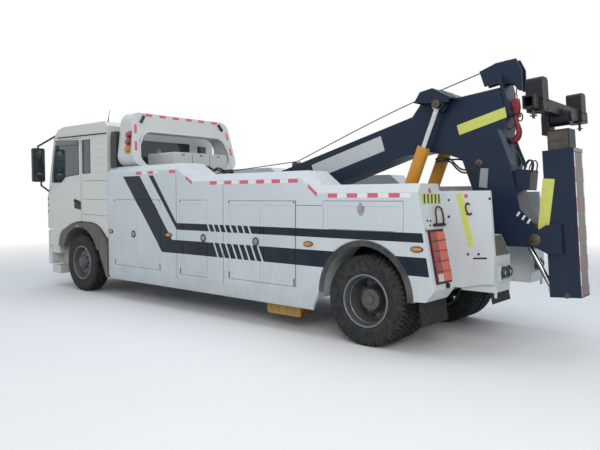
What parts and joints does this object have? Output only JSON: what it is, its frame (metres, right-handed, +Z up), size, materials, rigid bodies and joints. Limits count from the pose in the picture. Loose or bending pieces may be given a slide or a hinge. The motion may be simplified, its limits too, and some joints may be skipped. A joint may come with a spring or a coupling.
{
  "type": "tow truck",
  "caption": "Heavy recovery truck with tool lockers along both sides, a sliding boom on lift cylinders and a folded underlift at the rear.",
  "frame": {"origin": "bottom centre of the truck's bounding box, on the ground under its middle", "axes": "+X towards the cab's front, +Y to the truck's left, +Z up"},
  "size_m": [9.7986, 3.042, 3.33],
  "materials": {
    "chassis_paint": "satin",
    "engine_iron": "matte",
    "deck_steel": "matte",
    "body_white": "gloss",
    "cab_white": "gloss",
    "window_glass": "gloss",
    "seat_cloth": "matte",
    "cab_trim": "matte",
    "fender_plastic": "matte",
    "tyre_rubber": "matte",
    "wheel_paint": "satin",
    "boom_navy": "satin",
    "cylinder_yellow": "gloss",
    "rod_chrome": "polished",
    "winch_paint": "matte",
    "cast_steel": "matte",
    "lamp_lens": "gloss"
  },
  "bodies": {
    "chassis": {"chassis_frame": "chassis_paint", "engine_block": "engine_iron", "front_axle": "cast_steel", "rear_axle": "cast_steel", "subframe": "chassis_paint", "deck": "deck_steel", "headboard": "body_white", "equipment_box": "body_white", "winch_frame": "winch_paint", "air_intake": "cab_trim", "front_bumper": "cab_white", "front_fenders": "fender_plastic", "head_lamps": "window_glass", "tail_lamps": "lamp_lens", "beacons": "lamp_lens", "arch_lips": "fender_plastic", "locker_body_left": "body_white", "locker_body_right": "body_white"},
    "cab": {"cab_shell": "cab_white", "cab_glass": "window_glass", "cab_seats": "seat_cloth", "dashboard": "cab_trim", "mirrors": "cab_trim"},
    "winch_drum": {"winch_drum": "winch_paint"},
    "boom_main": {"boom_main": "boom_navy"},
    "boom_inner": {"boom_inner": "boom_navy"},
    "sheave": {"sheave": "cast_steel"},
    "lift_barrels": {"lift_barrels": "cylinder_yellow"},
    "lift_rods": {"lift_rods": "rod_chrome"},
    "fold_barrel": {"fold_barrel": "winch_paint"},
    "fold_piston": {"fold_piston": "rod_chrome"},
    "stinger": {"stinger": "boom_navy"},
    "stinger_inner": {"stinger_inner": "boom_navy"},
    "crosshead": {"crosshead": "cast_steel"},
    "cab_door_left": {"cab_door_left": "cab_white", "door_glass_left": "window_glass"},
    "knuckle_left": {"knuckle_left": "cast_steel"},
    "front_wheel_left": {"front_rim_left": "wheel_paint", "front_tyre_left": "tyre_rubber"},
    "rear_wheels_left": {"rear_rims_left": "wheel_paint", "rear_tyres_left": "tyre_rubber"},
    "locker_door_front_fore_left": {"locker_door_front_fore_left": "body_white"},
    "locker_door_front_aft_left": {"locker_door_front_aft_left": "body_white"},
    "locker_door_middle_left": {"locker_door_middle_left": "body_white"},
    "locker_door_rear_fore_left": {"locker_door_rear_fore_left": "body_white"},
    "locker_door_rear_aft_left": {"locker_door_rear_aft_left": "body_white"},
    "wheel_locker_flap_left": {"wheel_locker_flap_left": "body_white"},
    "cab_door_right": {"cab_door_right": "cab_white", "door_glass_right": "window_glass"},
    "knuckle_right": {"knuckle_right": "cast_steel"},
    "front_wheel_right": {"front_rim_right": "wheel_paint", "front_tyre_right": "tyre_rubber"},
    "rear_wheels_right": {"rear_rims_right": "wheel_paint", "rear_tyres_right": "tyre_rubber"},
    "locker_door_front_fore_right": {"locker_door_front_fore_right": "body_white"},
    "locker_door_front_aft_right": {"locker_door_front_aft_right": "body_white"},
    "locker_door_middle_right": {"locker_door_middle_right": "body_white"},
    "locker_door_rear_fore_right": {"locker_door_rear_fore_right": "body_white"},
    "locker_door_rear_aft_right": {"locker_door_rear_aft_right": "body_white"},
    "wheel_locker_flap_right": {"wheel_locker_flap_right": "body_white"}
  },
  "joints": [
    {"name": "steer_left", "type": "hinge", "parent": "chassis", "child": "knuckle_left", "pos_m": [3.6275, 0.86, 0.535], "axis": [0, 0, 1], "range_deg": [-38, 38]},
    {"name": "front_wheel_spin_left", "type": "hinge", "parent": "knuckle_left", "child": "front_wheel_left", "pos_m": [3.6275, 1.055, 0.535], "axis": [0, 1, 0], "continuous": true},
    {"name": "rear_wheel_spin_left", "type": "hinge", "parent": "chassis", "child": "rear_wheels_left", "pos_m": [-2.8225, 0.915, 0.535], "axis": [0, 1, 0], "continuous": true},
    {"name": "steer_right", "type": "hinge", "parent": "chassis", "child": "knuckle_right", "pos_m": [3.6275, -0.86, 0.535], "axis": [0, 0, 1], "range_deg": [-38, 38]},
    {"name": "front_wheel_spin_right", "type": "hinge", "parent": "knuckle_right", "child": "front_wheel_right", "pos_m": [3.6275, -1.055, 0.535], "axis": [0, 1, 0], "continuous": true},
    {"name": "rear_wheel_spin_right", "type": "hinge", "parent": "chassis", "child": "rear_wheels_right", "pos_m": [-2.8225, -0.915, 0.535], "axis": [0, 1, 0], "continuous": true},
    {"name": "cab_tilt", "type": "hinge", "parent": "chassis", "child": "cab", "pos_m": [4.8675, 0, 1.12], "axis": [0, 1, 0], "range_deg": [0, 50]},
    {"name": "cab_door_hinge_left", "type": "hinge", "parent": "cab", "child": "cab_door_left", "pos_m": [4.8415, 1.215, 1.99], "axis": [0, 0, -1], "range_deg": [0, 75]},
    {"name": "locker_door_front_fore_hinge_left", "type": "hinge", "parent": "chassis", "child": "locker_door_front_fore_left", "pos_m": [2.4015, 1.256, 1.15], "axis": [0, 0, -1], "range_deg": [0, 110]},
    {"name": "locker_door_front_aft_hinge_left", "type": "hinge", "parent": "chassis", "child": "locker_door_front_aft_left", "pos_m": [1.0805, 1.256, 1.15], "axis": [0, 0, 1], "range_deg": [0, 110]},
    {"name": "locker_door_middle_hinge_left", "type": "hinge", "parent": "chassis", "child": "locker_door_middle_left", "pos_m": [0.5845, 1.256, 1.13], "axis": [0, 0, -1], "range_deg": [0, 110]},
    {"name": "locker_door_rear_fore_hinge_left", "type": "hinge", "parent": "chassis", "child": "locker_door_rear_fore_left", "pos_m": [-0.5155, 1.256, 1.16], "axis": [0, 0, -1], "range_deg": [0, 110]},
    {"name": "locker_door_rear_aft_hinge_left", "type": "hinge", "parent": "chassis", "child": "locker_door_rear_aft_left", "pos_m": [-1.7695, 1.256, 1.16], "axis": [0, 0, 1], "range_deg": [0, 110]},
    {"name": "wheel_locker_flap_hinge_left", "type": "hinge", "parent": "chassis", "child": "wheel_locker_flap_left", "pos_m": [-2.7875, 1.256, 1.357], "axis": [-1, 0, 0], "range_deg": [0, 90]},
    {"name": "cab_door_hinge_right", "type": "hinge", "parent": "cab", "child": "cab_door_right", "pos_m": [4.8415, -1.215, 1.99], "axis": [0, 0, 1], "range_deg": [0, 75]},
    {"name": "locker_door_front_fore_hinge_right", "type": "hinge", "parent": "chassis", "child": "locker_door_front_fore_right", "pos_m": [2.4015, -1.256, 1.15], "axis": [0, 0, 1], "range_deg": [0, 110]},
    {"name": "locker_door_front_aft_hinge_right", "type": "hinge", "parent": "chassis", "child": "locker_door_front_aft_right", "pos_m": [1.0805, -1.256, 1.15], "axis": [0, 0, -1], "range_deg": [0, 110]},
    {"name": "locker_door_middle_hinge_right", "type": "hinge", "parent": "chassis", "child": "locker_door_middle_right", "pos_m": [0.5845, -1.256, 1.13], "axis": [0, 0, 1], "range_deg": [0, 110]},
    {"name": "locker_door_rear_fore_hinge_right", "type": "hinge", "parent": "chassis", "child": "locker_door_rear_fore_right", "pos_m": [-0.5155, -1.256, 1.16], "axis": [0, 0, 1], "range_deg": [0, 110]},
    {"name": "locker_door_rear_aft_hinge_right", "type": "hinge", "parent": "chassis", "child": "locker_door_rear_aft_right", "pos_m": [-1.7695, -1.256, 1.16], "axis": [0, 0, -1], "range_deg": [0, 110]},
    {"name": "wheel_locker_flap_hinge_right", "type": "hinge", "parent": "chassis", "child": "wheel_locker_flap_right", "pos_m": [-2.7875, -1.256, 1.357], "axis": [1, 0, 0], "range_deg": [0, 90]},
    {"name": "winch_spin", "type": "hinge", "parent": "chassis", "child": "winch_drum", "pos_m": [1.1625, 0, 2.05], "axis": [0, 1, 0], "continuous": true},
    {"name": "boom_lift", "type": "hinge", "parent": "chassis", "child": "boom_main", "pos_m": [0.7775, 0, 1.6], "axis": [0, 1, 0], "range_deg": [-6, 11]},
    {"name": "boom_extend", "type": "slide", "parent": "boom_main", "child": "boom_inner", "axis": [-0.9659, 0, 0.2588], "range_m": [0, 1.1]},
    {"name": "sheave_spin", "type": "hinge", "parent": "boom_inner", "child": "sheave", "pos_m": [-3.9975, 0, 3.19998], "axis": [0, 1, 0], "continuous": true},
    {"name": "lift_barrels_pivot", "type": "hinge", "parent": "chassis", "child": "lift_barrels", "pos_m": [-2.5825, 0, 1.14], "axis": [0, 1, 0], "range_deg": [-9, 16]},
    {"name": "lift_rods_slide", "type": "slide", "parent": "lift_barrels", "child": "lift_rods", "axis": [-0.363, 0, 0.9318], "range_m": [-0.36, 0.66]},
    {"name": "stinger_fold", "type": "hinge", "parent": "boom_main", "child": "stinger", "pos_m": [-4.4025, 0, 1.262], "axis": [0, -1, 0], "range_deg": [0, 95]},
    {"name": "fold_barrel_pivot", "type": "hinge", "parent": "boom_main", "child": "fold_barrel", "pos_m": [-3.7225, 0, 2.14], "axis": [0, -1, 0], "range_deg": [0, 24]},
    {"name": "fold_piston_slide", "type": "slide", "parent": "fold_barrel", "child": "fold_piston", "axis": [-0.4948, 0, -0.869], "range_m": [-0.69, 0]},
    {"name": "stinger_extend", "type": "slide", "parent": "stinger", "child": "stinger_inner", "axis": [0.0698, 0, 0.9976], "range_m": [0, 0.6]},
    {"name": "crosshead_swivel", "type": "hinge", "parent": "stinger_inner", "child": "crosshead", "pos_m": [-4.50854, 0, 2.61269], "axis": [-0.9976, 0, 0.0698], "range_deg": [-30, 30]}
  ],
  "couplings": [
    {"joint": "steer_right", "follows": "steer_left", "ratio": 1},
    {"joint": "lift_barrels_pivot", "follows": "boom_lift", "ratio": 1.3},
    {"joint": "lift_rods_slide", "follows": "boom_lift", "m_per_rad": 3.32},
    {"joint": "fold_barrel_pivot", "follows": "stinger_fold", "ratio": 0.245},
    {"joint": "fold_piston_slide", "follows": "stinger_fold", "m_per_rad": -0.412}
  ]
}
